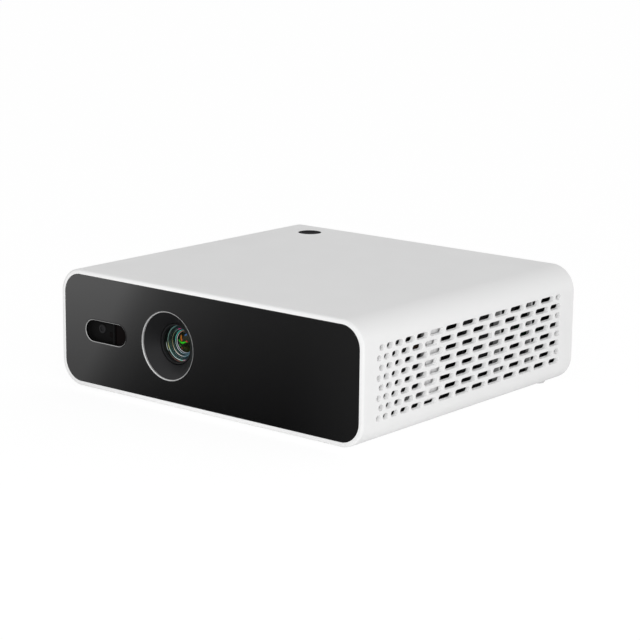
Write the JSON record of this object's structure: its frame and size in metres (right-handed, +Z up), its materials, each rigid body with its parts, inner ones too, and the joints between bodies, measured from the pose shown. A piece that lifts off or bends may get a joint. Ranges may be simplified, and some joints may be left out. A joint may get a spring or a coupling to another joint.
{
  "type": "projector with disc drive",
  "caption": "Low white projector with a black front panel, lens, sensor window, slotted side and a slim disc tray in its left side.",
  "frame": {"origin": "on the table, under the middle of the housing", "axes": "+X right seen from the front, -Y is where the front panel and the lens look, +Z up"},
  "size_m": [0.194, 0.174, 0.062],
  "materials": {
    "white_shell": "fine satin moulded finish",
    "panel_black": "gloss",
    "inner_black": "fine matt",
    "polished_trim": "polished",
    "lens_glass": "coated",
    "filter_dark": "gloss",
    "rear_white": "fine texture",
    "sheet_steel": "satin",
    "chassis_dark": "matt",
    "alloy": "machined",
    "screw_steel": "satin",
    "insert_brass": "turned",
    "pipe_copper": "drawn",
    "foot_rubber": "matt",
    "button_black": "satin",
    "board_green": "solder mask",
    "battery_wrap": "shrink film",
    "gear_ivory": "moulded",
    "tray_dark": "moulded",
    "lamp_red": "matt",
    "lamp_green": "matt",
    "lamp_blue": "matt"
  },
  "bodies": {
    "housing": {"housing_sleeve": "white_shell", "front_panel": "panel_black", "lens_trim_ring": "polished_trim", "window_trim": "polished_trim", "lens_shroud": "inner_black", "sensor_bezel": "inner_black", "focus_camera": "inner_black", "range_sensor": "filter_dark", "ir_filter": "filter_dark", "rear_panel": "rear_white", "rear_panel_screws": "screw_steel", "chassis": "chassis_dark", "base_screws": "screw_steel", "tripod_insert": "insert_brass", "rubber_feet": "foot_rubber", "button_switch": "inner_black", "button_post": "inner_black", "lens_barrel": "inner_black", "rear_lens": "lens_glass", "focus_motor": "sheet_steel", "engine_housing": "alloy", "engine_cover": "alloy", "prism": "lens_glass", "dichroic_plates": "lens_glass", "relay_lens": "lens_glass", "red_lamp": "lamp_red", "green_lamp": "lamp_green", "blue_lamp": "lamp_blue", "micromirror_board": "board_green", "micromirror_heatsink": "alloy", "heat_pipes": "pipe_copper", "fin_stack": "alloy", "fan_frame": "inner_black", "upper_deck": "sheet_steel", "main_board": "board_green", "hdmi_socket": "sheet_steel", "usb_sockets": "sheet_steel", "audio_jack": "inner_black", "power_board": "board_green", "dc_inlet": "inner_black", "battery_pack": "battery_wrap", "speakers": "inner_black", "side_bracket": "rear_white", "drive_case": "sheet_steel", "drive_cover": "sheet_steel"},
    "lens_carrier": {"lens_carrier": "inner_black", "front_lens": "lens_glass", "lens_retainer": "inner_black"},
    "focus_ring": {"focus_ring": "tray_dark"},
    "focus_pinion": {"focus_pinion": "gear_ivory"},
    "fan_rotor": {"fan_rotor": "inner_black"},
    "power_button": {"power_button": "button_black"},
    "tray": {"disc_tray": "tray_dark", "tray_bezel": "rear_white", "traverse_unit": "sheet_steel"},
    "rails": {"tray_rails": "sheet_steel"},
    "eject_button": {"eject_button": "rear_white"},
    "turntable": {"turntable": "tray_dark"},
    "sled": {"optical_sled": "tray_dark"},
    "lead_screw": {"lead_screw": "screw_steel"}
  },
  "joints": [
    {"name": "focus_turn", "type": "hinge", "parent": "housing", "child": "focus_ring", "pos_m": [-0.0239, -0.0728, 0.032], "axis": [0, 1, 0], "range_deg": [0, 100]},
    {"name": "pinion_spin", "type": "hinge", "parent": "housing", "child": "focus_pinion", "pos_m": [-0.01032, -0.0728, 0.04558], "axis": [0, 1, 0], "range_deg": [-434, 0]},
    {"name": "lens_slide", "type": "slide", "parent": "housing", "child": "lens_carrier", "axis": [0, -1, 0], "range_m": [0, 0.0025]},
    {"name": "fan_spin", "type": "hinge", "parent": "housing", "child": "fan_rotor", "pos_m": [0.072, 0.03, 0.0281], "axis": [1, 0, 0], "continuous": true},
    {"name": "power_press", "type": "slide", "parent": "housing", "child": "power_button", "axis": [0, 0, -1], "range_m": [0, 0.0006], "stiffness_N_per_m": 600, "springref_m": -0.0004},
    {"name": "tray_slide", "type": "slide", "parent": "housing", "child": "tray", "axis": [-1, 0, 0], "range_m": [0, 0.12]},
    {"name": "rail_slide", "type": "slide", "parent": "housing", "child": "rails", "axis": [-1, 0, 0], "range_m": [0, 0.06]},
    {"name": "eject_press", "type": "slide", "parent": "tray", "child": "eject_button", "axis": [1, 0, 0], "range_m": [0, 0.0008], "stiffness_N_per_m": 400, "springref_m": -0.0004},
    {"name": "disc_spin", "type": "hinge", "parent": "tray", "child": "turntable", "pos_m": [-0.0324, 0.0191, 0.0202], "axis": [0, 0, 1], "continuous": true},
    {"name": "sled_slide", "type": "slide", "parent": "tray", "child": "sled", "axis": [0.7071, 0.7071, 0], "range_m": [0, 0.034]},
    {"name": "screw_spin", "type": "hinge", "parent": "tray", "child": "lead_screw", "pos_m": [-0.02144, 0.00814, 0.0202], "axis": [0.7071, 0.7071, 0], "continuous": true}
  ],
  "couplings": [
    {"joint": "pinion_spin", "follows": "focus_turn", "ratio": -4.3333},
    {"joint": "lens_slide", "follows": "focus_turn", "m_per_rad": 0.0014324},
    {"joint": "rail_slide", "follows": "tray_slide", "ratio": 0.5},
    {"joint": "screw_spin", "follows": "sled_slide", "rad_per_m": 2094.4}
  ]
}
